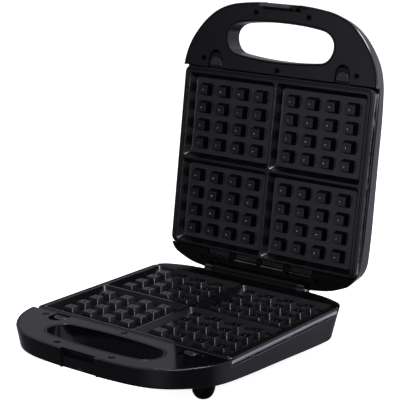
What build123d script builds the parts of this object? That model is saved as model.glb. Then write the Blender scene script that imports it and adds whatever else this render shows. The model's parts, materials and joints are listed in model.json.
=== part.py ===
from build123d import *
import math
import os

# Four-portion waffle iron, clamshell body, modelled standing open.
# Millimetres, +Z up, X to the right, Y to the rear. Z = 0 is the surface it stands on.
# Every half is drawn in a "half frame": X across, Y from the handle (negative) to the hinge
# (positive), Z = 0 in the plane of the plate's rim and post tops, -Z into the housing.

os.makedirs("parts", exist_ok=True)

# ---------------------------------------------------------------- driving dimensions
PITCH_X = 26.0            # post pitch across
PITCH_Y = 21.2            # post pitch front to back
FIRST_X = 21.9            # first post column from the middle
FIRST_Y = 19.6            # first post row from the middle
POST_TOP = (12.0, 10.6)   # post top size
POST_H = 9.0              # pocket depth
POST_DRAFT = 1.9          # how much a post widens on each side

PLATE_X = 128.2           # plate half width
PLATE_Y0 = -109.7         # plate front edge (handle side)
PLATE_Y1 = 104.6          # plate rear edge (hinge side)
PLATE_R = 8.0
RIM_X = 120.4             # pocket field half width at the rim
RIM_Y0 = -102.0           # pocket field front edge
RIM_Y1 = 101.2            # pocket field rear edge
RIB_TOP = 1.4             # half width of the crest of the cross ribs
WALL_SLOPE = 5.0          # run of the pocket wall over its depth
RIM_T = 7.8               # height of the rim's side
LIP_T = 3.2               # coated lip above the bare side strip
UNDER = 11.6              # depth of the plate's underside

OPEN_DEG = 96.26          # opening angle of the lid
HINGE_Y = 128.2           # hinge axis, half frame of the base
HINGE_Z = -0.5
GAP = 2.2                 # distance between the two rim planes when closed
FLOOR = 43.0              # rim plane of the base above the floor
Y_SHIFT = 2.842           # puts the middle of the whole object over the origin

WALL = 2.4                # housing wall
DRAFT = 0.205             # side wall draft (tangent)
BOT_Z = -32.4             # housing bottom plane: z = BOT_Z - BOT_SLOPE * y
BOT_SLOPE = 0.06
STEP_Z = -8.3             # top edge of the housing's side walls beside the plate
COVER_T = 2.5             # handle cover thickness
COVER_EDGE = -110.5       # straight edge of the handle cover next to the plate

BARREL_R = 8.3            # hinge barrel on the lid
BARREL_X = 58.3           # its half length
KNUCKLE_X = (59.0, 68.8)  # hinge knuckles of the base
KNUCKLE_R = 7.9
RELIEF_R = 9.2            # hollow around the hinge in both halves
RELIEF_X = 69.6
PIN_R = 2.5

CLIP_X = 85.8             # plate-release buttons
CLIP_W = 17.2
CLIP_TRAVEL = 4.5

LATCH_RECESS_X = 22.1     # latch recess half width
LATCH_RECESS_Y = -185.4   # recess floor in the base
LID_RECESS_Y = -181.6     # recess floor in the lid
LATCH_W = 20.6            # latch half width
COVER_NOTCH_Y = -187.0    # edge of the handle covers at the recess
LATCH_PIVOT = (-185.8, -15.0)   # y, z in the half frame of the lid

FOOT_X = 104.0
FRONT_FOOT_Y = -120.0
REAR_FOOT_Y = 101.0


# ---------------------------------------------------------------- placing
def base(s):
    return s.moved(Location((0, Y_SHIFT, FLOOR)))


def lid(s):
    """half frame -> closed above the base -> opened about the hinge axis"""
    closed = s.moved(Location((0, 0, 0), (0, 180, 0))).moved(Location((0, 0, GAP)))
    back = closed.moved(Location((0, -HINGE_Y, -HINGE_Z)))
    opened = back.moved(Location((0, 0, 0), (-OPEN_DEG, 0, 0)))
    return opened.moved(Location((0, HINGE_Y + Y_SHIFT, HINGE_Z + FLOOR)))


nodes = {}


def save(name, shape):
    solids = list(shape.solids())
    body = solids[0] if len(solids) == 1 else Compound(children=[s for s in solids])
    body.label = name
    nodes[name] = body
    export_step(body, f"parts/{name}.step")
    print(f"{name}: {len(solids)} solid(s), {sum(s.volume for s in solids) / 1000:.2f} cm3")


def group(shapes):
    return Compound(children=[s for x in shapes for s in x.solids()])


# ---------------------------------------------------------------- small makers
def box(x0, x1, y0, y1, z0, z1):
    return Solid.make_box(x1 - x0, y1 - y0, z1 - z0).moved(Location((x0, y0, z0)))


def cyl(r, x, y, z0, z1):
    return Solid.make_cylinder(r, z1 - z0).moved(Location((x, y, z0)))


def cyl_x(r, x0, x1, y, z):
    return Solid.make_cylinder(r, x1 - x0, Plane(origin=(x0, y, z), z_dir=(1, 0, 0)))


def cyl_y(r, x, y0, y1, z):
    return Solid.make_cylinder(r, y1 - y0, Plane(origin=(x, y0, z), z_dir=(0, 1, 0)))


def cone(r0, r1, x, y, z0, z1):
    return Solid.make_cone(r0, r1, z1 - z0).moved(Location((x, y, z0)))


def prism_x(points, x0, x1):
    """polygon in Y-Z, drawn out along X"""
    pts = [Vector(x0, y, z) for y, z in points]
    face = Face(Wire.make_polygon(pts, close=True))
    return Solid.extrude(face, Vector(x1 - x0, 0, 0))


def prism_z(points, z0, z1):
    face = Face(Wire.make_polygon([Vector(x, y, z0) for x, y in points], close=True))
    return Solid.extrude(face, Vector(0, 0, z1 - z0))


def rrect(x0, x1, y0, y1, r, z):
    """closed wire: rectangle with round corners at height z"""
    c = [(x1 - r, y0 + r, -90), (x1 - r, y1 - r, 0), (x0 + r, y1 - r, 90), (x0 + r, y0 + r, 180)]
    edges = []
    ends = []
    for cx, cy, a in c:
        p = [Vector(cx + r * math.cos(math.radians(a + t)), cy + r * math.sin(math.radians(a + t)), z) for t in (0, 45, 90)]
        ends.append((p[0], p[2]))
        edges.append(Edge.make_three_point_arc(*p))
    for i in range(4):
        edges.append(Edge.make_line(ends[i][1], ends[(i + 1) % 4][0]))
    return Wire.combine(edges)[0]


def rr_solid(x0, x1, y0, y1, r, z0, z1):
    return Solid.extrude(Face(rrect(x0, x1, y0, y1, r, z0)), Vector(0, 0, z1 - z0))


def slab(low, high):
    """solid between two polygons with the same number of corners, all its faces flat"""
    a, b = [Vector(*p) for p in low], [Vector(*p) for p in high]
    n = len(a)
    faces = [Face(Wire.make_polygon(a, close=True)), Face(Wire.make_polygon(b, close=True))]
    faces += [Face(Wire.make_polygon([a[i], a[(i + 1) % n], b[(i + 1) % n], b[i]], close=True)) for i in range(n)]
    return Solid(Shell(faces))


def rect_at(x0, x1, y0, y1, z, c=0.0):
    """corners of a rectangle, cut off by c"""
    if not c:
        return [(x0, y0, z), (x1, y0, z), (x1, y1, z), (x0, y1, z)]
    return [(x0 + c, y0, z), (x1 - c, y0, z), (x1, y0 + c, z), (x1, y1 - c, z),
            (x1 - c, y1, z), (x0 + c, y1, z), (x0, y1 - c, z), (x0, y0 + c, z)]


def frustum(x, y, sx, sy, z_top, depth, grow):
    """post: rectangle at z_top that grows by `grow` on each side at z_top - depth"""
    return slab(rect_at(x - sx / 2 - grow, x + sx / 2 + grow, y - sy / 2 - grow, y + sy / 2 + grow, z_top - depth),
                rect_at(x - sx / 2, x + sx / 2, y - sy / 2, y + sy / 2, z_top))


# ---------------------------------------------------------------- plan outlines
def biarc(p0, a0, p1, a1):
    """two tangent arcs from p0 (heading a0 degrees) to p1 (heading a1); each as three points with outward normals"""
    t0 = (math.cos(math.radians(a0)), math.sin(math.radians(a0)))
    t1 = (math.cos(math.radians(a1)), math.sin(math.radians(a1)))
    v = (p1[0] - p0[0], p1[1] - p0[1])
    vv = v[0] * v[0] + v[1] * v[1]
    ts = (t0[0] + t1[0], t0[1] + t1[1])
    vt = v[0] * ts[0] + v[1] * ts[1]
    k = 2 * (1 - t0[0] * t1[0] - t0[1] * t1[1])
    d = vv / (2 * vt) if k < 1e-9 else (-vt + math.sqrt(vt * vt + k * vv)) / k
    q = ((p0[0] + d * t0[0] + p1[0] - d * t1[0]) / 2, (p0[1] + d * t0[1] + p1[1] - d * t1[1]) / 2)
    return [piece(p0, t0, q), piece(p1, (-t1[0], -t1[1]), q, True)]


def piece(p, t, q, backward=False):
    """arc from p with tangent t to q, as [(x, y, nx, ny) x 3] in the loop's sense, and whether it is an arc"""
    n = (-t[1], t[0])
    w = (q[0] - p[0], q[1] - p[1])
    side = n[0] * w[0] + n[1] * w[1]
    ww = w[0] * w[0] + w[1] * w[1]
    if abs(side) < 1e-4 * math.sqrt(ww):
        s = -1 if backward else 1
        no = (t[1] * s, -t[0] * s)
        m = ((p[0] + q[0]) / 2, (p[1] + q[1]) / 2)
        pts = [(*p, *no), (*m, *no), (*q, *no)]
        return (pts[::-1] if backward else pts), False
    r = ww / (2 * side)
    c = (p[0] + n[0] * r, p[1] + n[1] * r)
    a0, a1 = math.atan2(p[1] - c[1], p[0] - c[0]), math.atan2(q[1] - c[1], q[0] - c[0])
    turn = (a1 - a0) % (2 * math.pi) if r > 0 else -((a0 - a1) % (2 * math.pi))
    pts = []
    for f in (0, 0.5, 1):
        a = a0 + turn * f
        # heading along t at p; outward is to the right of the loop's sense
        o = (math.cos(a), math.sin(a)) if (r > 0) != backward else (-math.cos(a), -math.sin(a))
        pts.append((c[0] + abs(r) * math.cos(a), c[1] + abs(r) * math.sin(a), *o))
    return (pts[::-1] if backward else pts), True


def outline(knots):
    """closed loop of tangent arcs; knots (x, y, heading) run along the right side, front middle to rear middle"""
    loop = []
    for a, b in zip(knots, knots[1:]):
        loop += biarc(a[:2], a[2], b[:2], b[2])
    left = []
    for pts, arc in reversed(loop):
        left.append(([(-x, y, -nx, ny) for x, y, nx, ny in reversed(pts)], arc))
    return loop + left


def ring(curve, d, z):
    """closed wire: the outline moved outward by d, at height z"""
    edges = []
    for pts, arc in curve:
        v = [Vector(x + nx * d, y + ny * d, z) for x, y, nx, ny in pts]
        edges.append(Edge.make_three_point_arc(*v) if arc else Edge.make_line(v[0], v[2]))
    return Wire(edges)


def loft_rings(curve, levels):
    return Solid.make_loft([ring(curve, d, z) for d, z in levels], ruled=True)


# whole housing outline; the handle cover's outline lies 2.2 mm inside it
HOUSING_LOOP = outline([(0, -192.5, 0), (60, -188.4, 9), (94.6, -174.4, 37), (120, -145.2, 59), (131.7, -104.0, 87),
                        (132.4, 0, 90), (131.2, 88.0, 93), (124.6, 109.2, 122), (106.8, 120.2, 158), (67.6, 127.9, 173),
                        (0, 128.6, 180)])
RIM = 2.2
SLOT_LOOP = outline([(0, -171.6, 0), (56, -167.6, 10), (73.2, -149.0, 90), (57, -128.2, 172), (0, -124.3, 180)])
COVER_SCREWS = [(-103.5, -120.8), (103.5, -120.8), (0, -115.9), (-35.4, -179.3), (35.4, -179.3)]
REAR_SCREWS = [(-80.0, 115.4), (-40.0, 113.6), (40.0, 113.6), (80.0, 115.4)]
PAN_SCREWS = [(-92.0, -72.0), (92.0, -72.0), (-92.0, 66.0), (92.0, 66.0)]


def bottom(y):
    return BOT_Z - BOT_SLOPE * y


def below_bottom(extra=0.0):
    """everything deeper than the housing's bottom plane, moved outward by extra"""
    big = Solid.make_box(500, 600, 120).moved(Location((-250, -300, -120 - extra)))
    return big.moved(Location((0, 0, BOT_Z), (-math.degrees(math.atan(BOT_SLOPE)), 0, 0)))


def to_bottom(s, inset=0.0):
    """cut a boss so that it ends on the housing's bottom"""
    return s - below_bottom(-inset)


# ---------------------------------------------------------------- housing
def housing(which):
    lv = [(-0.6, 0.0), (0.0, -0.9), (-DRAFT * 46, -46.0)]
    outer = loft_rings(HOUSING_LOOP, lv) - below_bottom()
    try:
        rim = outer.faces().sort_by(Axis.Z)[0].edges()
        outer = outer.fillet(2.6, rim)
    except Exception as e:
        print("bottom rounding left out:", e)
    inner = loft_rings(HOUSING_LOOP, [(-WALL + 0.2, 1.0), (-WALL - DRAFT * 46, -46.0)])
    shell = outer - (inner - below_bottom(-WALL))
    # step that the handle cover lies in
    shell = shell - Solid.extrude(Face(ring(HOUSING_LOOP, -RIM + 0.15, -COVER_T)), Vector(0, 0, 8))
    # finger slot: a tube through the handle, flush with the cover
    tube = Solid.extrude(Face(ring(SLOT_LOOP, 0.0, -40)), Vector(0, 0, 40))
    hole = loft_rings(SLOT_LOOP, [(-1.8, 1.0), (-2.3, -46.0)])
    solid = shell + to_bottom(tube)
    # bosses for the cover screws
    for x, y in COVER_SCREWS:
        solid = solid + to_bottom(cyl(3.9, x, y, -40, -COVER_T))
    for x, y in REAR_SCREWS:
        solid = solid + to_bottom(cyl(3.6, x, y, -46, -8.0))
    for x, y in PAN_SCREWS:
        solid = solid + to_bottom(cyl(4.0, x, y, -46, -20.6))
    # rails under the plate-release buttons, and the stops of their springs
    for s in (-1, 1):
        for dx in (-9.0, 9.0):
            solid = solid + to_bottom(box(s * CLIP_X + dx - 1.2, s * CLIP_X + dx + 1.2, -134.0, -112.0, -40, -6.7))
        solid = solid + to_bottom(box(s * CLIP_X - 6.0, s * CLIP_X + 6.0, -140.0, -137.6, -40, -3.2))
    solid = solid - hole
    # beside and behind the plate the walls end lower down
    solid = solid - box(-140, 140, -110.3, 140, STEP_Z, 5)
    # ribs that the plate's rim rests on
    for x in (-1, 1):
        for y in (-70.0, 0.0, 62.0):
            a, b = sorted((x * 123.6, x * 129.2))
            solid = solid + box(a, b, y - 4, y + 4, -16.0, -RIM_T)
    # hollow round the hinge
    ax = (HINGE_Y, HINGE_Z if which == "lower" else GAP - HINGE_Z)
    solid = solid - cyl_x(RELIEF_R, -RELIEF_X, RELIEF_X, *ax)
    solid = solid - box(-RELIEF_X, RELIEF_X, ax[0], 150, ax[1] - RELIEF_R, 20)
    # latch recess in the front wall, closed again behind
    floor_y = LATCH_RECESS_Y if which == "lower" else LID_RECESS_Y
    back = to_bottom(box(-LATCH_RECESS_X - 2.2, LATCH_RECESS_X + 2.2, -190.0, floor_y + 2.2, -40, -COVER_T))
    keep = loft_rings(HOUSING_LOOP, lv) - below_bottom()
    solid = solid + (back & keep)
    solid = solid - box(-LATCH_RECESS_X, LATCH_RECESS_X, -200, floor_y, -60, 5)
    if which == "lower":
        # slot that takes the latch hook, under a ledge, and the seat of the catch insert
        solid = solid - box(-LATCH_RECESS_X, LATCH_RECESS_X, LATCH_RECESS_Y - 0.5, -182.0, -8.6, -2.8)
        roof = box(-LATCH_RECESS_X - 2.2, LATCH_RECESS_X + 2.2, -185.4, -180.6, -2.8, -0.0)
        pocket = box(-LATCH_RECESS_X - 2.2, LATCH_RECESS_X + 2.2, -183.2, -180.4, -11.0, 0.0) \
            - box(-LATCH_RECESS_X, LATCH_RECESS_X, -184.0, -182.0, -8.6, -2.8)
        inside = Solid.extrude(Face(ring(HOUSING_LOOP, -RIM - 0.3, -46)), Vector(0, 0, 60))
        solid = solid + ((roof + pocket) & (keep - Solid.extrude(Face(ring(HOUSING_LOOP, -RIM + 0.2, -COVER_T)), Vector(0, 0, 5))))
        # hinge knuckles
        for s in (-1, 1):
            a, b = sorted((s * KNUCKLE_X[0], s * KNUCKLE_X[1]))
            leg = prism_x([(124.6, -6.2), (135.9, -3.0), (134.9, -8.6), (126.6, -25.0), (121.6, -25.0), (121.4, -8.9)], a, b)
            solid = solid + cyl_x(KNUCKLE_R, a, b, *ax) + leg
            solid = solid - cyl_x(PIN_R + 0.01, a - 1, b + 1, *ax)
        # flat seat of the cord gland
        solid = solid + cyl_y(10.0, -88.0, 113.6, 121.5, -24.0)
        solid = solid - cyl_y(6.05, -88.0, 105.0, 130.0, -24.0) - cyl_y(9.0, -88.0, 121.5, 130.0, -24.0)
        # holes for the feet
        for x, y, r in FEET:
            solid = solid + to_bottom(cyl(6.5, x, y, -46, bottom(y) + 9.0))
            solid = solid - cyl(2.6, x, y, -60, bottom(y) + 6.0)
    else:
        # latch pivot bores in the recess's side walls
        for s in (-1, 1):
            a, b = sorted((s * LATCH_RECESS_X, s * (LATCH_RECESS_X + 2.6)))
            ear = box(a, b, -190.6, -180.0, -20.5, -9.5) & keep
            solid = solid + ear
        solid = solid - cyl_x(1.51, -LATCH_RECESS_X - 2.2, LATCH_RECESS_X + 2.2, *LATCH_PIVOT)
        # holes for the two lenses
        for x in LENS_X:
            solid = solid - on_bottom(cyl(3.6, 0, 0, -6, 6), x, LENS_Y)
    # pilot holes of all screws
    for x, y in COVER_SCREWS + REAR_SCREWS:
        solid = solid - cyl(1.55, x, y, -18.0, 2)
    for x, y in PAN_SCREWS:
        solid = solid - cyl(1.55, x, y, -29.0, -20)
    return max(solid.solids(), key=lambda s: s.volume)


LENS_X = (-13.0, 13.0)
LENS_Y = -107.0
FEET = [(-FOOT_X, FRONT_FOOT_Y, 12.0), (FOOT_X, FRONT_FOOT_Y, 12.0), (-FOOT_X, REAR_FOOT_Y, 10.0), (FOOT_X, REAR_FOOT_Y, 10.0)]


def on_bottom(s, x, y):
    """put a shape drawn about the origin (+Z outward) on the housing's bottom plane at x, y"""
    a = math.degrees(math.atan(BOT_SLOPE))
    return s.moved(Location((0, 0, 0), (180 - a, 0, 0))).moved(Location((x, y, bottom(y))))


# ---------------------------------------------------------------- covers
def handle_cover():
    c = Solid.extrude(Face(ring(HOUSING_LOOP, -RIM, -COVER_T)), Vector(0, 0, COVER_T))
    c = c - box(-140, 140, COVER_EDGE, 0, -10, 5)
    c = c - box(-LATCH_RECESS_X, LATCH_RECESS_X, -200, COVER_NOTCH_Y, -10, 5)
    c = c - Solid.extrude(Face(ring(SLOT_LOOP, 0.25, -COVER_T - 1)), Vector(0, 0, COVER_T + 2))
    for s in (-1, 1):
        x, w = s * CLIP_X, CLIP_W / 2 + 0.5
        c = c - box(x - w, x + w, -122.2, -100, -5, 5) - cyl(w, x, -122.2, -5, 5)
    for x, y in COVER_SCREWS:
        c = c - cyl(1.8, x, y, -5, 5) - cyl(3.1, x, y, -1.5, 5)
    return c.solids()[0]


def rear_cover(which):
    c = loft_rings(HOUSING_LOOP, [(-0.6, 0.0), (0.0, -0.9), (-DRAFT * 7.4, STEP_Z)])
    c = c - box(-140, 140, -210, PLATE_Y1 + 0.5, -20, 5)
    # hollow underneath
    inner = loft_rings(HOUSING_LOOP, [(-2.4, 1.0), (-2.4 - DRAFT * 10, -10.0)]) & box(-140, 140, PLATE_Y1 + 2.6, 140, -12, -2.4)
    ax = (HINGE_Y, HINGE_Z if which == "lower" else GAP - HINGE_Z)
    inner = inner - cyl_x(RELIEF_R + 2.2, -RELIEF_X - 2.2, RELIEF_X + 2.2, *ax) \
        - box(-RELIEF_X - 2.2, RELIEF_X + 2.2, ax[0] - 4, 150, -20, 5)
    c = c - inner
    for x, y in REAR_SCREWS:
        c = c + (cyl(3.6, x, y, STEP_Z, -1.0) - cyl_x(RELIEF_R, -RELIEF_X, RELIEF_X, *ax))
    c = c - cyl_x(RELIEF_R, -RELIEF_X, RELIEF_X, *ax)
    c = c - box(-RELIEF_X, RELIEF_X, ax[0], 150, -20, 20)
    # notches for the plate's rear tongues
    for x in TONGUES:
        c = c - box(x - 15.0, x + 15.0, 100, 111.4, -12, 5)
    for x, y in REAR_SCREWS:
        c = c - cyl(1.8, x, y, -12, 5) - cyl(2.6, x, y, -1.5, 5)
    return max(c.solids(), key=lambda s: s.volume)


# ---------------------------------------------------------------- plate
TONGUES = (-57.3, -18.3, 18.3, 57.3)


def plate():
    lip = rr_solid(-PLATE_X, PLATE_X, PLATE_Y0, PLATE_Y1, PLATE_R, -LIP_T, 0.0)
    strip = rr_solid(-PLATE_X + 0.8, PLATE_X - 0.8, PLATE_Y0 + 0.8, PLATE_Y1 - 0.8, PLATE_R - 0.8, -RIM_T, -LIP_T)
    lower = rr_solid(-PLATE_X + 5.4, PLATE_X - 5.4, PLATE_Y0 + 5.4, PLATE_Y1 - 5.4, 5.0, -UNDER, -RIM_T)
    p = lip + strip + lower
    # drip groove round the field
    g0 = rr_solid(-PLATE_X + 2.6, PLATE_X - 2.6, PLATE_Y0 + 2.6, PLATE_Y1 - 1.0, 6.0, -0.8, 1.0)
    g1 = rr_solid(-PLATE_X + 4.6, PLATE_X - 4.6, PLATE_Y0 + 4.6, PLATE_Y1 - 2.0, 4.6, -0.9, 1.1)
    p = p - (g0 - g1)
    # four pockets
    for sx in (-1, 1):
        for sy in (-1, 1):
            x0, x1 = sorted((sx * RIB_TOP, sx * RIM_X))
            y0, y1 = sorted((sy * RIB_TOP, RIM_Y1 if sy > 0 else RIM_Y0))
            w = WALL_SLOPE
            p = p - slab(rect_at(x0 + w, x1 - w, y0 + w, y1 - w, -POST_H, 2.4), rect_at(x0, x1, y0, y1, 0.0, 2.4))
    posts = []
    for sx in (-1, 1):
        for sy in (-1, 1):
            for i in range(4):
                for j in range(4):
                    x, y = sx * (FIRST_X + i * PITCH_X), sy * (FIRST_Y + j * PITCH_Y)
                    a = frustum(x, y, *POST_TOP, -0.2, POST_H + 0.6, POST_DRAFT * (POST_H + 0.6) / POST_H)
                    posts.append(a)
    p = p.fuse(*posts)
    p = max(p.solids(), key=lambda s: s.volume)
    # rear tongues, tops a little below the rim
    for x in TONGUES:
        p = p + box(x - 14.5, x + 14.5, PLATE_Y1 - 3, 110.8, -6.4, -1.2)
    # groove in the front edge that the release buttons reach for
    for s in (-1, 1):
        p = p - box(s * CLIP_X - 9.5, s * CLIP_X + 9.5, PLATE_Y0 - 1, PLATE_Y0 + 2.4, -6.6, -4.0)
    return max(p.solids(), key=lambda s: s.volume)


# ---------------------------------------------------------------- release buttons
def button(s):
    x = s * CLIP_X
    w = CLIP_W / 2
    pad = box(x - w, x + w, -118.2, -110.8, -3.9, -0.9) + cyl(w, x, -118.2, -3.9, -0.9)
    pad = pad & box(x - w, x + w, -124.6, -110.8, -5, 0)
    slide = box(x - 11.8, x + 11.8, -128.2, -110.9, -6.6, -3.6)
    nose = box(x - 8.6, x + 8.6, -112.0, PLATE_Y0 - 0.3, -6.1, -4.5)
    ribs = [box(x - 5.5, x + 5.5, y - 0.5, y + 0.5, -1.2, -0.35) for y in (-120.4, -117.6, -114.8)]
    b = pad + slide + nose
    for r in ribs:
        b = b + r
    return b.solids()[0]


def coil(x, y0, y1, z, r, wire, turns):
    """closed-wound helical spring along Y"""
    h = y1 - y0 - wire
    path = Helix(pitch=h / turns, height=h, radius=r, center=(x, y0 + wire / 2, z), direction=(0, 1, 0))
    start = path.position_at(0)
    section = Plane(origin=start, z_dir=path.tangent_at(0)) * Circle(wire / 2)
    return sweep(section, path=path).solids()[0]


# ---------------------------------------------------------------- inside parts
def pan():
    """pressed reflector tray under the plate"""
    t = 0.6
    o = Solid.make_loft([rrect(-112, 112, -95, 90, 10, -20.6), rrect(-116, 116, -99, 94, 12, -12.6)], ruled=True)
    i = Solid.make_loft([rrect(-112 + t, 112 - t, -95 + t, 90 - t, 9.5, -20.6 + t),
                         rrect(-116 + t, 116 - t, -99 + t, 94 - t, 11.5, -12.5)], ruled=True)
    tray = o - i
    flange = rr_solid(-119.5, 119.5, -101.5, 96.5, 13, -12.6, -12.0) - rr_solid(-116 + t, 116 - t, -99 + t, 94 - t, 11.5, -13, -11)
    p = tray + flange
    for x, y in PAN_SCREWS:
        p = p - cyl(1.8, x, y, -22, -18)
    p = p - cyl(8.4, 0, 0, -22, -18)
    for x in (-22.0, 22.0):
        p = p - box(x - 6, x + 6, 84, 100, -18.6, -11.0)
    return p.solids()[0]


EL_Z = -15.0
EL_R = 3.25


def element():
    pts = [(-22, 97), (-22, 66), (-84, 66), (-84, -72), (84, -72), (84, 66), (22, 66), (22, 97)]
    line = FilletPolyline(*[Vector(x, y, EL_Z) for x, y in pts], radius=15.0)
    sec = Plane(origin=(-22, 97, EL_Z), z_dir=(0, -1, 0)) * Circle(EL_R)
    tube = sweep(sec, path=line).solids()[0]
    pins = [cyl_y(1.2, x, 96.0, 105.2, EL_Z) for x in (-22, 22)]
    return (tube + pins[0] + pins[1]).solids()[0]


def saddles():
    out = []
    for x, y, along in ((-84, 30, "y"), (-84, -38, "y"), (84, 30, "y"), (84, -38, "y"), (-30, -72, "x"), (30, -72, "x")):
        w = (6.0, 5.0) if along == "y" else (5.0, 6.0)
        b = box(x - w[0], x + w[0], y - w[1], y + w[1], -20.0, -15.2)
        b = b - (cyl_y(EL_R + 0.03, x, y - 9, y + 9, EL_Z) if along == "y" else cyl_x(EL_R + 0.03, x - 9, x + 9, y, EL_Z))
        out.append(b)
    return group(out)


def thermostat():
    return (cyl(8.0, 0, 0, -25.0, -17.0) + cyl(6.0, 0, 0, -17.0, -11.9) + box(-4, -2.4, -3, 3, -29.0, -25.0)
            + box(2.4, 4, -3, 3, -29.0, -25.0)).solids()[0]


def fuse():
    return (cyl_x(2.2, -8, 8, 50, -17.6) + cyl_x(0.6, -15, -8, 50, -17.6) + cyl_x(0.6, 8, 15, 50, -17.6)).solids()[0]


def terminals():
    b = box(-70, -44, 99.5, 109.5, -33.0, -24.0)
    for x in (-66, -57, -48):
        b = b - cyl(1.9, x, 104.5, -27.0, -23.0)
    return b.solids()[0]


def leads():
    """insulated wires: element end to the supply side, element end to thermostat, thermostat to the supply side"""
    routes = [[(-22, 106.5, -13.5), (-22, 106.5, -27.5), (-44, 106.5, -27.5)],
              [(22, 106.5, -13.5), (22, 106.5, -27.0), (3.2, 106.5, -27.0), (3.2, 3.0, -27.0)],
              [(-3.2, 3.0, -27.0), (-3.2, 84.0, -27.0), (-57.0, 84.0, -28.0), (-57.0, 99.5, -28.0)]]
    out = []
    for r in routes:
        line = FilletPolyline(*[Vector(*p) for p in r], radius=3.0)
        d = line.tangent_at(0)
        out.append(sweep(Plane(origin=Vector(*r[0]), z_dir=d) * Circle(1.3), path=line).solids()[0])
    return group(out)


def screw(x, y, z_head, r_head, h_head, r, length):
    """pan-head screw, cross recess, shank downward"""
    s = cyl(r_head, x, y, z_head - h_head, z_head) + cyl(r, x, y, z_head - length, z_head - h_head)
    s = s - box(x - r_head * 0.55, x + r_head * 0.55, y - 0.35, y + 0.35, z_head - 0.9, z_head + 1)
    s = s - box(x - 0.35, x + 0.35, y - r_head * 0.55, y + r_head * 0.55, z_head - 0.9, z_head + 1)
    return s.solids()[0]


# ---------------------------------------------------------------- latch
def latch():
    """drawn in the half frame of the lid: +Z hangs below the lid when it is closed"""
    y0 = -191.6
    arm = prism_x([(y0 + 1.6, -18.6), (y0, -16.0), (y0, 17.6), (y0 + 2.2, 19.6), (y0 + 4.2, 19.6), (-187.3, 17.8),
                   (-187.3, 9.9), (-184.0, 8.6), (-184.0, 6.2), (-184.9, 5.3), (-187.3, 5.3), (-187.3, 1.0), (-188.0, -4.0),
                   (-187.9, -8.5), (-183.0, -11.5), (-183.0, -18.6)], -LATCH_W, LATCH_W)
    arm = arm - cyl_x(1.56, -LATCH_W - 1, LATCH_W + 1, *LATCH_PIVOT)
    # pocket for the spring in the back of the upper end
    arm = arm - box(-5.0, 5.0, LATCH_PIVOT[0] - 2.9, -180.0, LATCH_PIVOT[1] - 3.0, LATCH_PIVOT[1] + 3.0)
    return arm.solids()[0]


def catch_insert():
    """panel in the base's latch recess, with a thumb hollow"""
    y1 = LATCH_RECESS_Y
    zb = bottom(y1) + 1.0
    s = box(-LATCH_RECESS_X + 0.2, LATCH_RECESS_X - 0.2, y1 - 1.6, y1, zb, -9.0)
    ball = Solid.make_sphere(26.0).moved(Location((6.0, y1 - 1.6 - 25.0, zb + 1.0)))
    return (s - ball).solids()[0]


# ---------------------------------------------------------------- build both halves
lower_housing = housing("lower")
upper_housing = housing("upper")
save("lower_housing", base(lower_housing))

# lid housing with the hinge barrel's web; the barrel is a part of its own
axl = (HINGE_Y, GAP - HINGE_Z)
barrel = cyl_x(BARREL_R, -BARREL_X, BARREL_X, *axl)
web = prism_x([(120.6, -9.2), (126.0, -3.4), (136.2, 1.2), (135.6, -9.0), (129.4, -27.0), (123.6, -27.0)], -BARREL_X, BARREL_X)
web = web - box(-BARREL_X - 1, BARREL_X + 1, 100, 124.9, -8.3, 3)
barrel = barrel + web
barrel = barrel - cyl_x(5.2, -44.0, 44.0, *axl)
for s in (-1, 1):
    a, b = sorted((s * 40.0, s * (BARREL_X + 1)))
    barrel = barrel - cyl_x(PIN_R + 0.06, a, b, *axl)
barrel = max(barrel.solids(), key=lambda s: s.volume)
upper_housing = upper_housing - barrel
upper_housing = max(upper_housing.solids(), key=lambda s: s.volume)
save("upper_housing", lid(upper_housing))
save("hinge_barrel", lid(barrel))
save("hinge_pins", base(group([cyl_x(PIN_R, 49.0, KNUCKLE_X[1] + 0.4, HINGE_Y, HINGE_Z),
                               cyl_x(PIN_R, -KNUCKLE_X[1] - 0.4, -49.0, HINGE_Y, HINGE_Z)])))

cover = handle_cover()
save("lower_handle_cover", base(cover))
save("upper_handle_cover", lid(cover))
save("lower_rear_cover", base(max((rear_cover("lower") - lower_housing).solids(), key=lambda s: s.volume)))
save("upper_rear_cover", lid(max((rear_cover("upper") - barrel).solids(), key=lambda s: s.volume)))

pl = plate()
save("lower_plate", base(pl))
save("upper_plate", lid(pl))

for half, put in (("lower", base), ("upper", lid)):
    for s in (-1, 1):
        # the lid's half frame is turned over, so its left is the drawing's right
        side = ("left" if s < 0 else "right") if half == "lower" else ("right" if s < 0 else "left")
        save(f"{half}_plate_button_{side}", put(button(s)))
        save(f"{half}_button_spring_{side}", put(coil(s * CLIP_X, -137.5, -128.3, -5.1, 1.9, 0.6, 6)))
    save(f"{half}_reflector_pan", put(pan()))
    save(f"{half}_heating_element", put(element()))
    save(f"{half}_element_saddles", put(saddles()))
    save(f"{half}_thermostat", put(thermostat()))
    save(f"{half}_thermal_fuse", put(fuse()))
    save(f"{half}_leads", put(leads()))
    save(f"{half}_cover_screws", put(group([screw(x, y, -0.45, 2.5, 1.0, 1.5, 12.0) for x, y in COVER_SCREWS])))
    save(f"{half}_rear_cover_screws", put(group([screw(x, y, -0.45, 2.2, 1.0, 1.5, 14.0) for x, y in REAR_SCREWS])))
    save(f"{half}_pan_screws", put(group([screw(x, y, -18.4, 3.0, 1.6, 1.5, 9.0) for x, y in PAN_SCREWS])))

save("terminal_block", base(terminals()))
save("latch_catch", base(catch_insert()))
gland = cyl_y(6.0, -88.0, 110.0, 122.0, -24.0) + cyl_y(8.6, -88.0, 121.5, 124.3, -24.0) - cyl_y(3.6, -88.0, 100, 130, -24.0)
save("cord_gland", base(gland.solids()[0]))

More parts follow.
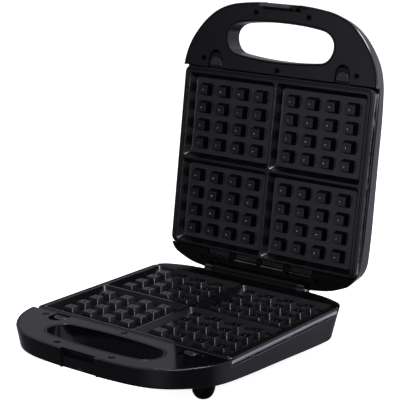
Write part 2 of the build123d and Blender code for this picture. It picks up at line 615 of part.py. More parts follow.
fz = -FLOOR
front, rear = [], []
for x, y, r in FEET:
    zt = bottom(y)
    if y < 0:
        f = Solid.make_loft([Wire.make_circle(4.2, Plane((x, y, fz))), Wire.make_circle(7.4, Plane((x, y, fz + 1.6))),
                             Wire.make_circle(10.0, Plane((x, y, fz + 5.0))), Wire.make_circle(11.8, Plane((x, y, fz + 10.5))),
                             Wire.make_circle(12.4, Plane((x, y, zt + 2.0)))], ruled=False)
        f = f & below_bottom()
        f = max(f.solids(), key=lambda s: s.volume) + cyl(2.5, x, y, zt - 3.0, zt + 5.5)
        front.append(f.solids()[0])
    else:
        f = cone(7.5, 9.6, x, y, fz, zt + 2.0) & below_bottom()
        f = max(f.solids(), key=lambda s: s.volume) + cyl(2.5, x, y, zt - 2.0, zt + 5.5)
        rear.append(f.solids()[0])
save("front_feet", base(group(front)))
save("rear_feet", base(group(rear)))

save("latch", lid(latch()))
save("latch_pin", lid(cyl_x(1.5, -LATCH_RECESS_X - 2.0, LATCH_RECESS_X + 2.0, *LATCH_PIVOT)))
h = Helix(pitch=1.0, height=7.0, radius=2.3, center=(-3.5, *LATCH_PIVOT), direction=(1, 0, 0))
sp = sweep(Plane(origin=h.position_at(0), z_dir=h.tangent_at(0)) * Circle(0.35), path=h).solids()[0]
save("latch_spring", lid(sp))

lens, lamps = [], []
for i, x in enumerate(LENS_X):
    l = cyl(3.5, 0, 0, -3.6, 0.2) + cone(3.5, 2.4, 0, 0, 0.2, 0.9) + cyl(4.6, 0, 0, -3.6, -WALL - 0.05)
    lens.append(on_bottom(l.solids()[0], x, LENS_Y))
    lamps.append(on_bottom(cyl(2.2, 0, 0, -13.0, -4.0), x, LENS_Y))
save("power_lens", lid(lens[0]))
save("ready_lens", lid(lens[1]))
save("indicator_lamps", lid(group(lamps)))
holder = cyl(3.4, LENS_X[0], 0, -12.0, -6.0) - cyl(2.25, LENS_X[0], 0, -13, -5)
holder = holder + (cyl(3.4, LENS_X[1], 0, -12.0, -6.0) - cyl(2.25, LENS_X[1], 0, -13, -5)) + box(-9.7, 9.7, -2.5, 2.5, -12.0, -10.2)
save("lamp_holder", lid(on_bottom(holder.solids()[0], 0, LENS_Y)))

# ---------------------------------------------------------------- whole object
lo = [min(getattr(n.bounding_box().min, a) for n in nodes.values()) for a in "XYZ"]
hi = [max(getattr(n.bounding_box().max, a) for n in nodes.values()) for a in "XYZ"]
print("nodes", len(nodes))
print("box", [round(v, 3) for v in lo], [round(v, 3) for v in hi], "middle y", round((lo[1] + hi[1]) / 2, 3))
print("hinge axis y, z", HINGE_Y + Y_SHIFT, HINGE_Z + FLOOR)
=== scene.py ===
import json
import math
import bpy
import bmesh
from mathutils import Vector, Matrix
from mathutils.geometry import tessellate_polygon

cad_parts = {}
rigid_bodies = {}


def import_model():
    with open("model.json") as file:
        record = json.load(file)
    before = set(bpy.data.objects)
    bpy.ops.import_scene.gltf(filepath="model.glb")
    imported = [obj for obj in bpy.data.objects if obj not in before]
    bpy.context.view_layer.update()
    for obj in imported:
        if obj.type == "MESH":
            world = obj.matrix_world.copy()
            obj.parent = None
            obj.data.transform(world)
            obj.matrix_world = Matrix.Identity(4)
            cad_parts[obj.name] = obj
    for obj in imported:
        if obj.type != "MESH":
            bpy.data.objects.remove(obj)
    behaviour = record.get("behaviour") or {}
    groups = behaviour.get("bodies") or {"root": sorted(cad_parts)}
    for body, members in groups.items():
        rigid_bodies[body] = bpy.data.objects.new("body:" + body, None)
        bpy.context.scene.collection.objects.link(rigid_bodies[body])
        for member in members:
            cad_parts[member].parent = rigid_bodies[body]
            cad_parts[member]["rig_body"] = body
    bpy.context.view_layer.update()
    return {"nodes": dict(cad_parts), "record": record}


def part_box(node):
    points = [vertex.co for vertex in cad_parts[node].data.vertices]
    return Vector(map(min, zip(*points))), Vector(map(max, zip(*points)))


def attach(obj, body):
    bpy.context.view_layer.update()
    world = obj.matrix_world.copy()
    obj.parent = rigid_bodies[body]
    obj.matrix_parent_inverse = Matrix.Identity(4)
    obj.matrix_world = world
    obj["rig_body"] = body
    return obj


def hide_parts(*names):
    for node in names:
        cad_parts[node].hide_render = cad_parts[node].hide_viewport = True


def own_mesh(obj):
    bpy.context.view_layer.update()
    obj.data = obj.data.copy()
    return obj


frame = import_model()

scene = bpy.context.scene
scene.view_settings.view_transform = "Standard"

# ------------------------------------------------------------------ the shared frame
# Every half is drawn in millimetres in a "half frame": X across, Y handle (-) to hinge (+),
# Z = 0 at the plate's rim plane, -Z into the housing. Numbers repeat those of the CAD.
YS, FLOOR = 2.842, 43.0
HINGE_Y, HINGE_Z, GAP, OPEN = 128.2, -0.5, 2.2, 96.26
MM = Matrix.Scale(0.001, 4)
M_BASE = MM @ Matrix.Translation((0, YS, FLOOR))
M_LID = (MM @ Matrix.Translation((0, HINGE_Y + YS, HINGE_Z + FLOOR)) @ Matrix.Rotation(math.radians(-OPEN), 4, "X")
         @ Matrix.Translation((0, -HINGE_Y, -HINGE_Z)) @ Matrix.Translation((0, 0, GAP)) @ Matrix.Rotation(math.pi, 4, "Y"))
HALF = {"lower": (M_BASE, "base"), "upper": (M_LID, "lid")}


# ------------------------------------------------------------------ camera
def camera():
    az, el, roll = math.radians(35.51), math.radians(13.898), math.radians(1.322)
    back = Vector((math.sin(az) * math.cos(el), -math.cos(az) * math.cos(el), math.sin(el)))
    right = Vector((0, 0, 1)).cross(back).normalized()
    up = back.cross(right)
    c, s = math.cos(roll), math.sin(roll)
    rows = [right, -up, -back]
    r0 = rows[0] * c - rows[1] * s
    r1 = rows[0] * s + rows[1] * c
    x, y, z = r0, -r1, -rows[2]
    m = Matrix(((x.x, y.x, z.x, 0.84327), (x.y, y.y, z.y, -1.16908 + YS * 0.001), (x.z, y.z, z.z, 0.47610 + 0.043), (0, 0, 0, 1)))
    data = bpy.data.cameras.new("cam")
    data.lens, data.sensor_width, data.sensor_fit = 124.503, 36.0, "HORIZONTAL"
    data.clip_start, data.clip_end = 0.05, 60
    ob = bpy.data.objects.new("cam", data)
    scene.collection.objects.link(ob)
    ob.matrix_world = m
    scene.camera = ob


camera()


# ------------------------------------------------------------------ materials
def material(name, color, rough, metal=0.0, spec=0.5, ior=1.5, var=0.18, var_scale=40.0, rough_var=0.05, grain=900.0, bump=0.03,
             bump_mm=0.05, scratch=0.0, dust=0.0, coat=0.0, stretch=None, alpha=1.0, transmission=0.0, emit=None):
    m = bpy.data.materials.new(name)
    m.use_nodes = True
    nt = m.node_tree
    n, l = nt.nodes, nt.links
    bsdf = n["Principled BSDF"]
    co = n.new("ShaderNodeTexCoord")
    mp = n.new("ShaderNodeMapping")
    l.new(co.outputs["Object"], mp.inputs["Vector"])
    if stretch:
        mp.inputs["Scale"].default_value = stretch

    def noise(scale, detail=3.0, rough=0.5):
        t = n.new("ShaderNodeTexNoise")
        t.inputs["Scale"].default_value = scale
        t.inputs["Detail"].default_value = detail
        t.inputs["Roughness"].default_value = rough
        l.new(mp.outputs["Vector"], t.inputs["Vector"])
        return t.outputs["Fac"]

    def ramp(fac, lo, hi, a=0.0, b=1.0):
        r = n.new("ShaderNodeMapRange")
        r.inputs["From Min"].default_value = lo
        r.inputs["From Max"].default_value = hi
        r.inputs["To Min"].default_value = a
        r.inputs["To Max"].default_value = b
        l.new(fac, r.inputs["Value"])
        return r.outputs["Result"]

    cloud = noise(var_scale, 4.0, 0.55)
    fine = noise(grain, 2.0, 0.5)
    mix = n.new("ShaderNodeMix")
    mix.data_type = "RGBA"
    mix.inputs["A"].default_value = [c * (1 - var) for c in color] + [1]
    mix.inputs["B"].default_value = [min(1, c * (1 + var)) for c in color] + [1]
    l.new(ramp(cloud, 0.3, 0.7), mix.inputs["Factor"])
    out = mix.outputs["Result"]
    speck = n.new("ShaderNodeMix")
    speck.data_type = "RGBA"
    speck.blend_type = "MULTIPLY"
    speck.inputs["B"].default_value = (1 - var, 1 - var, 1 - var, 1)
    l.new(ramp(fine, 0.45, 0.75, 0.0, 1.0), speck.inputs["Factor"])
    l.new(out, speck.inputs["A"])
    out = speck.outputs["Result"]
    if dust:
        d = n.new("ShaderNodeMix")
        d.data_type = "RGBA"
        d.inputs["B"].default_value = [min(1, c * 1.6 + 0.03) for c in color] + [1]
        l.new(ramp(noise(var_scale * 9, 6.0, 0.7), 0.58, 0.8, 0.0, dust), d.inputs["Factor"])
        l.new(out, d.inputs["A"])
        out = d.outputs["Result"]
    l.new(out, bsdf.inputs["Base Color"])
    rsum = n.new("ShaderNodeMath")
    rsum.operation = "ADD"
    l.new(ramp(cloud, 0.3, 0.7, rough - rough_var, rough + rough_var), rsum.inputs[0])
    l.new(ramp(fine, 0.3, 0.7, -rough_var * 0.5, rough_var * 0.5), rsum.inputs[1])
    r_out = rsum.outputs[0]
    if scratch:
        w = n.new("ShaderNodeTexWave")
        w.bands_direction = "DIAGONAL"
        w.inputs["Scale"].default_value = 160.0
        w.inputs["Distortion"].default_value = 22.0
        w.inputs["Detail"].default_value = 3.0
        w.inputs["Detail Scale"].default_value = 1.3
        l.new(mp.outputs["Vector"], w.inputs["Vector"])
        s = n.new("ShaderNodeMath")
        s.operation = "ADD"
        s.use_clamp = True
        l.new(r_out, s.inputs[0])
        l.new(ramp(w.outputs["Fac"], 0.94, 1.0, 0.0, scratch), s.inputs[1])
        r_out = s.outputs[0]
    l.new(r_out, bsdf.inputs["Roughness"])
    b = n.new("ShaderNodeBump")
    b.inputs["Strength"].default_value = bump
    b.inputs["Distance"].default_value = bump_mm * 0.001
    l.new(fine, b.inputs["Height"])
    l.new(b.outputs["Normal"], bsdf.inputs["Normal"])
    bsdf.inputs["Metallic"].default_value = metal
    bsdf.inputs["Specular IOR Level"].default_value = spec
    bsdf.inputs["IOR"].default_value = ior
    bsdf.inputs["Coat Weight"].default_value = coat
    bsdf.inputs["Coat Roughness"].default_value = 0.08
    bsdf.inputs["Alpha"].default_value = alpha
    bsdf.inputs["Transmission Weight"].default_value = transmission
    if emit:
        bsdf.inputs["Emission Color"].default_value = (*emit, 1)
        bsdf.inputs["Emission Strength"].default_value = 0.15
    return m


MATS = {
    "housing_plastic": material("housing_plastic", (0.0014, 0.0014, 0.0018), 0.16, var=0.25, var_scale=30, grain=1500, bump=0.05, rough_var=0.03),
    "cover_plastic": material("cover_plastic", (0.0014, 0.0013, 0.0018), 0.09, spec=0.42, var=0.2, var_scale=25, grain=1800, bump=0.02, rough_var=0.03),
    "rear_cover_plastic": material("rear_cover_plastic", (0.001, 0.001, 0.0012), 0.3, spec=0.1, var=0.25, grain=1500, bump=0.05),
    "barrel_plastic": material("barrel_plastic", (0.001, 0.001, 0.0012), 0.28, spec=0.14, var=0.25, grain=1500, bump=0.05),
    "plate_coating": material("plate_coating", (0.0014, 0.0014, 0.0018), 0.12, var=0.16, var_scale=60, grain=2600, bump=0.06, bump_mm=0.02, rough_var=0.03),
    # painted light: the pocket floors take a lighter copy of the plate coating, standing in for the light they catch;
    # the copy is also rougher and bumpier
    "plate_floor_painted_light": material("plate_floor_painted_light", (0.0098, 0.0094, 0.0108), 0.2, var=0.16, var_scale=60, grain=2600, bump=0.2, bump_mm=0.04, rough_var=0.06),
    "plate_wall": material("plate_wall", (0.0014, 0.0014, 0.0017), 0.25, var=0.16, var_scale=60, grain=2600, bump=0.1, bump_mm=0.03, rough_var=0.04),
    # painted shade: a darker copy of the plate coating, on the lid's post flanks and the base's dimples
    "coating_painted_shade": material("coating_painted_shade", (0.0007, 0.0007, 0.0009), 0.24, spec=0.16, var=0.16, var_scale=60, grain=2600, bump=0.1, bump_mm=0.03, rough_var=0.04),
    # painted light: a lighter copy of the plate coating, on the base's post flanks
    "base_flank_painted_light": material("base_flank_painted_light", (0.0075, 0.0072, 0.0085), 0.26, var=0.16, var_scale=60, grain=2600, bump=0.1, bump_mm=0.03, rough_var=0.04),
    # bare aluminium on the plate's side strip and underside; the same metal on the rear cover's slot edges is a painted
    # glint on the plastic
    "plate_bare_and_painted_glint": material("plate_bare_and_painted_glint", (0.62, 0.61, 0.63), 0.3, metal=1.0, var=0.1, var_scale=20, grain=700, bump=0.06, rough_var=0.09, stretch=(1, 1, 6), scratch=0.2),
    "button_plastic": material("button_plastic", (0.006, 0.006, 0.0075), 0.25, var=0.2, grain=1500, bump=0.08),
    "button_shadow": material("button_shadow", (0.001, 0.001, 0.0012), 0.45, spec=0.25, var=0.2, grain=1500, bump=0.1),
    "plate_dimple": material("plate_dimple", (0.0014, 0.0014, 0.0018), 0.1, spec=1.0, var=0.16, grain=2600, bump=0.03, bump_mm=0.02, rough_var=0.02),
    # painted shade: the spring steel is darkened nearly to black, so the coil stays dark in the shaded travel space
    "spring_steel": material("spring_steel", (0.035, 0.035, 0.038), 0.4, metal=1.0, var=0.12, grain=800),
    "pan_steel": material("pan_steel", (0.62, 0.61, 0.6), 0.3, metal=1.0, var=0.1, var_scale=12, grain=500, scratch=0.25),
    "element_sheath": material("element_sheath", (0.2, 0.17, 0.15), 0.42, metal=1.0, var=0.35, var_scale=25, grain=900, bump=0.15),
    "saddle_metal": material("saddle_metal", (0.6, 0.6, 0.6), 0.42, metal=1.0, var=0.12, grain=900, bump=0.2),
    "thermostat_ceramic": material("thermostat_ceramic", (0.72, 0.68, 0.58), 0.6, var=0.1, grain=1200, bump=0.2),
    "fuse_metal": material("fuse_metal", (0.6, 0.57, 0.48), 0.35, metal=1.0, var=0.15),
    "lead_insulation": material("lead_insulation", (0.62, 0.6, 0.52), 0.75, var=0.14, grain=2200, bump=0.6, bump_mm=0.15),
    # painted shade: the screw steel is darkened nearly to black, standing in for the shade in the screw recesses
    "screw_steel": material("screw_steel", (0.004, 0.004, 0.0045), 0.4, metal=1.0, var=0.2, var_scale=200, grain=1500, bump=0.1, scratch=0.2),
    "pin_steel": material("pin_steel", (0.5, 0.5, 0.5), 0.22, metal=1.0, var=0.1, grain=900, stretch=(8, 1, 1)),
    # painted shade: the terminal block is darkened so it stays dark where seen through the gaps
    "terminal_plastic": material("terminal_plastic", (0.02, 0.02, 0.02), 0.5, var=0.08, grain=900, bump=0.1),
    "catch_plastic": material("catch_plastic", (0.002, 0.002, 0.0025), 0.24, var=0.2, grain=1500, bump=0.05),
    "gland_rubber": material("gland_rubber", (0.008, 0.008, 0.008), 0.6, var=0.2, grain=1300, bump=0.2),
    "foot_plastic": material("foot_plastic", (0.0007, 0.0007, 0.0007), 0.35, spec=0.05, var=0.25, grain=1300, bump=0.15),
    "foot_rubber": material("foot_rubber", (0.004, 0.004, 0.004), 0.62, spec=0.3, var=0.25, grain=1300, bump=0.2),
    "latch_plastic": material("latch_plastic", (0.002, 0.002, 0.0025), 0.18, spec=0.36, var=0.2, grain=1500, bump=0.05),
    "power_lens_plastic": material("power_lens_plastic", (0.09, 0.004, 0.003), 0.12, var=0.1, grain=600, coat=0.3),
    "ready_lens_plastic": material("ready_lens_plastic", (0.003, 0.045, 0.009), 0.12, var=0.1, grain=600, coat=0.3),
    # painted shade: the lamp glass is a dark, opaque copy, so no glints show through the gaps into the shaded interior
    "lamp_glass": material("lamp_glass", (0.03, 0.018, 0.012), 0.25, spec=0.2, var=0.05),
}
SLOT_OF = {s["node"]: s["material_slot"] for s in frame["record"]["subparts"]}


# ------------------------------------------------------------------ mesh code
def corner_ring(x0, x1, y0, y1, r, n=4):
    """rounded rectangle, 4 * (n + 1) points, anticlockwise from the lower right corner"""
    r = max(r, 0.02)
    out = []
    for k, (cx, cy) in enumerate(((x1 - r, y0 + r), (x1 - r, y1 - r), (x0 + r, y1 - r), (x0 + r, y0 + r))):
        for i in range(n + 1):
            a = math.radians(-90 + 90 * k + 90 * i / n)
            out.append((cx + r * math.cos(a), cy + r * math.sin(a)))
    return out


def profile(points, radii, seg=3):
    """polyline (d, z) with rounded inner corners"""
    out = [points[0]]
    for i in range(1, len(points) - 1):
        p, a, b = (Vector(q) for q in (points[i], points[i - 1], points[i + 1]))
        r = radii[i - 1]
        u, v = (a - p).normalized(), (b - p).normalized()
        ang = u.angle(v)
        if r <= 0 or ang > math.pi - 0.02:
            out.append(tuple(p))
            continue
        t = r / math.tan(ang / 2)
        t = min(t, (a - p).length * 0.48, (b - p).length * 0.48)
        s, e = p + u * t, p + v * t
        c = p + (u + v).normalized() * (t / math.cos(ang / 2))
        w0, w1 = s - c, e - c
        full = w0.angle_signed(w1)
        for k in range(seg + 1):
            q = full * k / seg
            cs, sn = math.cos(-q), math.sin(-q)
            out.append((c.x + w0.x * cs - w0.y * sn, c.y + w0.x * sn + w0.y * cs))
    out.append(points[-1])
    return out


class Shape:
    def __init__(self):
        self.v, self.f, self.m, self.key = [], [], [], {}

    def vert(self, x, y, z):
        k = (round(x, 4), round(y, 4), round(z, 4))
        if k not in self.key:
            self.key[k] = len(self.v)
            self.v.append((x, y, z))
        return self.key[k]

    def ring(self, pts, z):
        return [self.vert(x, y, z) for x, y in pts]

    def face(self, ids, m=0):
        ids = [i for k, i in enumerate(ids) if i != ids[k - 1]]
        if len(ids) > 2:
            self.f.append(ids)
            self.m.append(m)

    def bridge(self, a, b, m=0):
        n = len(a)
        for i in range(n):
            j = (i + 1) % n
            self.face([a[i], a[j], b[j], b[i]], m)

    def fan(self, ring, centre, m=0):
        for i in range(len(ring)):
            self.face([ring[i], ring[(i + 1) % len(ring)], centre], m)

    def fill(self, loops, m=0):
        flat = [i for loop in loops for i in loop]
        tris = tessellate_polygon([[Vector(self.v[i]) for i in loop] for loop in loops])
        for t in tris:
            self.face([flat[k] for k in t], m)

    def obj(self, name, matrix, body, mats, replaces=(), smooth=40, flip=None):
        me = bpy.data.meshes.new(name)
        me.from_pydata(self.v, [], self.f)
        me.polygons.foreach_set("material_index", self.m)
        bm = bmesh.new()
        bm.from_mesh(me)
        bmesh.ops.remove_doubles(bm, verts=bm.verts, dist=0.0005)
        bmesh.ops.recalc_face_normals(bm, faces=bm.faces)
        bm.to_mesh(me)
        bm.free()
        me.transform(matrix)
        if matrix.determinant() < 0:
            me.flip_normals()
        ob = bpy.data.objects.new(name, me)
        scene.collection.objects.link(ob)
        for mt in mats:
            me.materials.append(mt)
        shade(ob, smooth)
        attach(ob, body)
        if replaces:
            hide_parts(*replaces)
        return ob


def shade(ob, angle=40):
    me = ob.data
    me.polygons.foreach_set("use_smooth", [True] * len(me.polygons))
    bm = bmesh.new()
    bm.from_mesh(me)
    lim = math.radians(angle)
    for e in bm.edges:
        e.smooth = not (len(e.link_faces) == 2 and e.calc_face_angle(0) > lim)
    bm.to_mesh(me)
    bm.free()
    w = ob.modifiers.new("normals", "WEIGHTED_NORMAL")
    w.keep_sharp = True
    w.weight = 50


# ------------------------------------------------------------------ waffle plates
PX, PY0, PY1, PR = 128.2, -109.7, 104.6, 8.0
RIB, RIMX, RIMY0, RIMY1, WALLRUN, DEPTH = 1.4, 120.4, -102.0, 101.2, 5.0, 9.0
PITCH_X, PITCH_Y, FIRST_X, FIRST_Y, POST_X, POST_Y, POST_DRAFT, POST_DROP = 26.0, 21.2, 21.9, 19.6, 12.0, 10.6, 1.9, 0.2


def waffle_plate(half):
    M, _ = HALF[half]
    s = Shape()
    # pockets
    openings = []
    wall = profile([(-1.2, 0.0), (0.0, 0.0), (WALLRUN, -DEPTH), (WALLRUN + 2.0, -DEPTH)], [0.5, 0.6], 4)
    post = profile([(-2.0, -POST_DROP), (0.0, -POST_DROP), (POST_DRAFT * (DEPTH - POST_DROP) / DEPTH, -DEPTH), (POST_DRAFT + 1.4, -DEPTH)], [0.22, 0.5], 3)
    for sx in (-1, 1):
        for sy in (-1, 1):
            x0, x1 = sorted((sx * RIB, sx * RIMX))
            y0, y1 = sorted((sy * RIB, RIMY1 if sy > 0 else RIMY0))
            rings = []
            for d, z in wall[1:-1]:
                r = 4.2 - 0.22 * d
                rings.append(s.ring(corner_ring(x0 + d, x1 - d, y0 + d, y1 - d, r, 5), z))
            for a, b in zip(rings, rings[1:]):
                s.bridge(a, b, 3)
            openings.append(rings[0])
            side = {"x0": [], "x1": [], "y0": [], "y1": []}
            bx = sorted((sx * (FIRST_X - PITCH_X / 2), sx * (FIRST_X + 3.5 * PITCH_X)))
            by = sorted((sy * (FIRST_Y - PITCH_Y / 2), sy * (FIRST_Y + 3.5 * PITCH_Y)))
            for i in range(4):
                for j in range(4):
                    cx, cy = sx * (FIRST_X + i * PITCH_X), sy * (FIRST_Y + j * PITCH_Y)
                    hx, hy = POST_X / 2, POST_Y / 2
                    prev = None
                    # post flanks take slot 4: a darker painted-shade copy of the coating on the lid, a lighter
                    # painted-light copy on the base
                    for d, z in post[1:-1]:
                        pts = corner_ring(cx - hx - d, cx + hx + d, cy - hy - d, cy + hy + d, 0.75 + max(0, d) * 0.45, 4)
                        cur = s.ring(pts, z)
                        if prev:
                            s.bridge(prev, cur, 4)
                        else:
                            first = cur
                        prev, last = cur, pts
                    # cell floor, in the lighter painted-light copy of the coating
                    ex0, ex1, ey0, ey1 = cx - PITCH_X / 2, cx + PITCH_X / 2, cy - PITCH_Y / 2, cy + PITCH_Y / 2
                    cell = []
                    for k in range(4):
                        p0, p4 = last[5 * k], last[5 * k + 4]
                        c = ((ex1, ey0), (ex1, ey1), (ex0, ey1), (ex0, ey0))[k]
                        if k % 2 == 0:
                            q0, q4 = (p0[0], c[1]), (c[0], p4[1])
                        else:
                            q0, q4 = (c[0], p0[1]), (p4[0], c[1])
                        cell += [q0, ((q0[0] + c[0]) / 2, (q0[1] + c[1]) / 2), c, ((q4[0] + c[0]) / 2, (q4[1] + c[1]) / 2), q4]
                    outer = s.ring(cell, -DEPTH)
                    s.bridge(prev, outer, 2)
                    for (px, py), idx in zip(cell, outer):
                        if abs(px - bx[0]) < 1e-6: side["x0"].append((py, idx))
                        if abs(px - bx[1]) < 1e-6: side["x1"].append((py, idx))
                        if abs(py - by[0]) < 1e-6: side["y0"].append((px, idx))
                        if abs(py - by[1]) < 1e-6: side["y1"].append((px, idx))
                    # top with a small round dimple; on the base the dimple takes the darker painted-shade copy of the
                    # coating
                    nub = []
                    for rr, zz in ((1.7, 0.0), (1.55, -0.05), (1.4, -0.22), (1.15, -0.55), (0.75, -0.8), (0.35, -0.9)):
                        ring = [(cx + rr * math.cos(math.radians(-81 + 18 * q)), cy + rr * math.sin(math.radians(-81 + 18 * q))) for q in range(20)]
                        nub.append(s.ring(ring, -POST_DROP + zz))
                    s.bridge(nub[0], first)
                    for a, b in zip(nub, nub[1:]):
                        s.bridge(b, a, 5)
                    s.fan(nub[-1], s.vert(cx, cy, -POST_DROP - 0.93), 5)
            loop = []
            for key, rev in (("y0", False), ("x1", False), ("y1", True), ("x0", True)):
                seq = [i for _, i in sorted(set(side[key]), reverse=rev)]
                loop += seq[:-1]
            # pocket floor around the cells, in the lighter painted-light copy of the coating
            s.fill([rings[-1], loop], 2)
    # rim: groove, rounded edge, bare strip, underside
    def at(d, z, rear=None, r=None):
        return s.ring(corner_ring(-PX + d, PX - d, PY0 + d, PY1 - (d if rear is None else rear), max(0.6, PR - d) if r is None else r, 6), z)
    groove = []
    for t, z in ((2.3, 0.0), (2.5, -0.05), (2.62, -0.35), (2.75, -1.15), (3.0, -1.4), (4.2, -1.4), (4.45, -1.15), (4.58, -0.35), (4.7, -0.05), (4.9, 0.0)):
        groove.append(at(t, z, rear=0.9 + (t - 2.3) * 0.45, r=PR - t * 0.85))
    for a, b in zip(groove, groove[1:]):
        s.bridge(a, b)
    s.fill([groove[-1]] + openings)
    edge = profile([(3.0, 0.0), (0.0, 0.0), (0.0, -3.2), (0.8, -3.2)], [1.3, 0.35], 4)
    rings = [at(d, z) for d, z in edge[1:]]
    s.fill([rings[0], groove[0]])
    for a, b in zip(rings, rings[1:]):
        s.bridge(a, b)
    bare = profile([(0.8, -3.2), (0.8, -7.8), (5.4, -7.8)], [0.3], 2)
    low = [rings[-1]] + [at(d, z) for d, z in bare[1:]]
    for a, b in zip(low, low[1:]):
        s.bridge(a, b, 1)
    under = profile([(5.4, -7.8), (5.4, -11.6), (12, -11.6)], [0.6], 2)
    low2 = [low[-1]] + [at(d, z) for d, z in under[1:-1]]
    for a, b in zip(low2, low2[1:]):
        s.bridge(a, b, 1)
    s.fill([low2[-1]], 1)
    # rear tongues
    for x in (-57.3, -18.3, 18.3, 57.3):
        pr = profile([(14.0, -1.2), (0.0, -1.2), (0.0, -6.4), (14.0, -6.4)], [0.7, 0.7], 3)
        tr = [s.ring(corner_ring(x - 14.5 + d, x + 14.5 - d, PY1 - 2.4 + d * 0.1, 110.8 - d, 1.6, 4), z) for d, z in pr[1:-1]]
        for k, (a, b) in enumerate(zip(tr, tr[1:])):
            s.bridge(a, b, 0)
        s.fill([tr[0]], 0)
        s.fill([tr[-1]], 0)
    # painted light and shade: slot 2 (floors) and slot 4 (post flanks, and slot 5 on the base) are lighter or darker
    # copies of the coating
    return s.obj(f"{half}_waffle_plate", M, f"{half}_plate", [MATS["plate_coating"], MATS["plate_bare_and_painted_glint"], MATS["plate_floor_painted_light"], MATS["plate_wall"], MATS["coating_painted_shade" if half == "upper" else "base_flank_painted_light"], MATS["plate_dimple" if half == "upper" else "coating_painted_shade"]], [f"{half}_plate"], smooth=50)


for half in ("lower", "upper"):
    waffle_plate(half)


# ------------------------------------------------------------------ moulded and metal pieces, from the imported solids
def shrink(bm, d):
    """moves upright walls into the material, so the seams beside them open up"""
    moves = {}
    for v in bm.verts:
        normals = []
        for f in v.link_faces:
            if abs(f.normal.z) < 0.3 and not any(f.normal.dot(q) > 0.999 for q in normals):
                normals.append(f.normal.copy())
        if len(normals) == 1:
            moves[v] = -d * normals[0]
        elif len(normals) >= 2:
            a, b = normals[0], normals[-1]
            k = 1 + a.dot(b)
            if k > 0.3:
                moves[v] = -d * (a + b) / k
    for v, m in moves.items():
        if not (abs(v.co.x) < 27 and v.co.y < -184):
            v.co += Vector((m.x, m.y, 0))


def edged(node, rules, segments=2, mats=None, gap=0.0, cuts=()):
    """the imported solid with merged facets, its chosen edges rounded; a rule is (width, lowest z, highest z, least angle[, x/y limits]) in the half frame"""
    src = frame["nodes"][node]
    me = src.data.copy()
    me.name = node + "_mesh"
    ob = bpy.data.objects.new(node + "_piece", me)
    scene.collection.objects.link(ob)
    me.materials.clear()
    for mt in mats or [MATS[SLOT_OF[node]]]:
        me.materials.append(mt)
    upper = src["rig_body"] in ("lid", "latch", "upper_plate", "upper_button_left", "upper_button_right")
    M = M_LID if upper else M_BASE
    me.transform(M.inverted())
    bm = bmesh.new()
    bm.from_mesh(me)
    bmesh.ops.remove_doubles(bm, verts=bm.verts, dist=0.003)
    bmesh.ops.dissolve_limit(bm, angle_limit=math.radians(0.5), verts=bm.verts, edges=bm.edges)
    for point, normal in cuts:
        r = bmesh.ops.bisect_plane(bm, geom=bm.verts[:] + bm.edges[:] + bm.faces[:], plane_co=point, plane_no=normal, clear_outer=True)
        bmesh.ops.holes_fill(bm, edges=[e for e in r["geom_cut"] if isinstance(e, bmesh.types.BMEdge)], sides=0)
        bmesh.ops.recalc_face_normals(bm, faces=bm.faces)
    if gap:
        shrink(bm, gap)
    keep_notch = node.endswith("housing") or node.endswith("handle_cover")
    for rule in rules:
        width, z0, z1, least = rule[:4]
        x0, x1, y0, y1 = rule[4] if len(rule) > 4 else (-500, 500, -500, 500)
        pick = []
        for e in bm.edges:
            if len(e.link_faces) != 2 or not e.is_manifold:
                continue
            va, vb = e.verts[0].co, e.verts[1].co
            if keep_notch and min(abs(va.x), abs(vb.x)) < 27 and min(va.y, vb.y) < -184:
                continue
            if all(z0 <= v.z <= z1 and x0 <= v.x <= x1 and y0 <= v.y <= y1 for v in (va, vb)) and e.calc_face_angle(0) > math.radians(least):
                pick.append(e)
        if pick:
            bmesh.ops.bevel(bm, geom=pick, offset=width, offset_type="OFFSET", segments=segments, profile=0.5, affect="EDGES",
                            clamp_overlap=False, loop_slide=True, miter_outer="SHARP", miter_inner="SHARP")
    for f in bm.faces:
        f.smooth = True
        f.material_index = 0
        # painted shade: sideways-facing faces in the latch notch (|x| < 27, y < -180) take the second, near-black
        # material
        if mats and len(mats) > 1 and abs(f.normal.x) > 0.8:
            c = f.calc_center_median()
            if abs(c.x) < 27 and c.y < -180:
                f.material_index = 1
        # painted highlight: the rear cover's upward-facing slot edges take the second material, bright bare metal, as a
        # glint
        if node == "upper_rear_cover" and 108.5 < f.calc_center_median().y < 112.6 and f.normal.y < -0.2 and f.normal.z > 0.2:
            f.material_index = 1
    lim = math.radians(38)
    for e in bm.edges:
        e.smooth = not (len(e.link_faces) == 2 and e.calc_face_angle(0) > lim)
    bm.to_mesh(me)
    bm.free()
    me.transform(M)
    w = ob.modifiers.new("normals", "WEIGHTED_NORMAL")
    w.keep_sharp = True
    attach(ob, src["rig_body"])
    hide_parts(node)
    return ob


TOP = (-0.06, 0.06, 50)
EDGES = {
    "lower_housing": [(0.32, *TOP)], "upper_housing": [(0.32, *TOP)],
    "lower_handle_cover": [(0.3, *TOP)], "upper_handle_cover": [(0.3, *TOP)],
    "lower_rear_cover": [(0.35, -1.2, 0.2, 50)], "upper_rear_cover": [(0.35, -1.2, 0.2, 50)],
}
for name, rules in EDGES.items():
    # second material: a painted glint of bare metal on the upper rear cover's slot edges, on the others a near-black
    # painted shadow on the sides of the latch notch
    edged(name, rules, gap=0.42 if "handle" in name else 0.0, mats=[MATS[SLOT_OF[name]], MATS["plate_bare_and_painted_glint" if name == "upper_rear_cover" else "button_shadow"]])
# painted shade: the latch's end faces take the near-black second material
edged("latch", [(0.3, 2.0, 30.0, 25)], cuts=[((0, -191.6, 14.4), (0, -0.78, 0.62))], mats=[MATS["latch_plastic"], MATS["button_shadow"]])


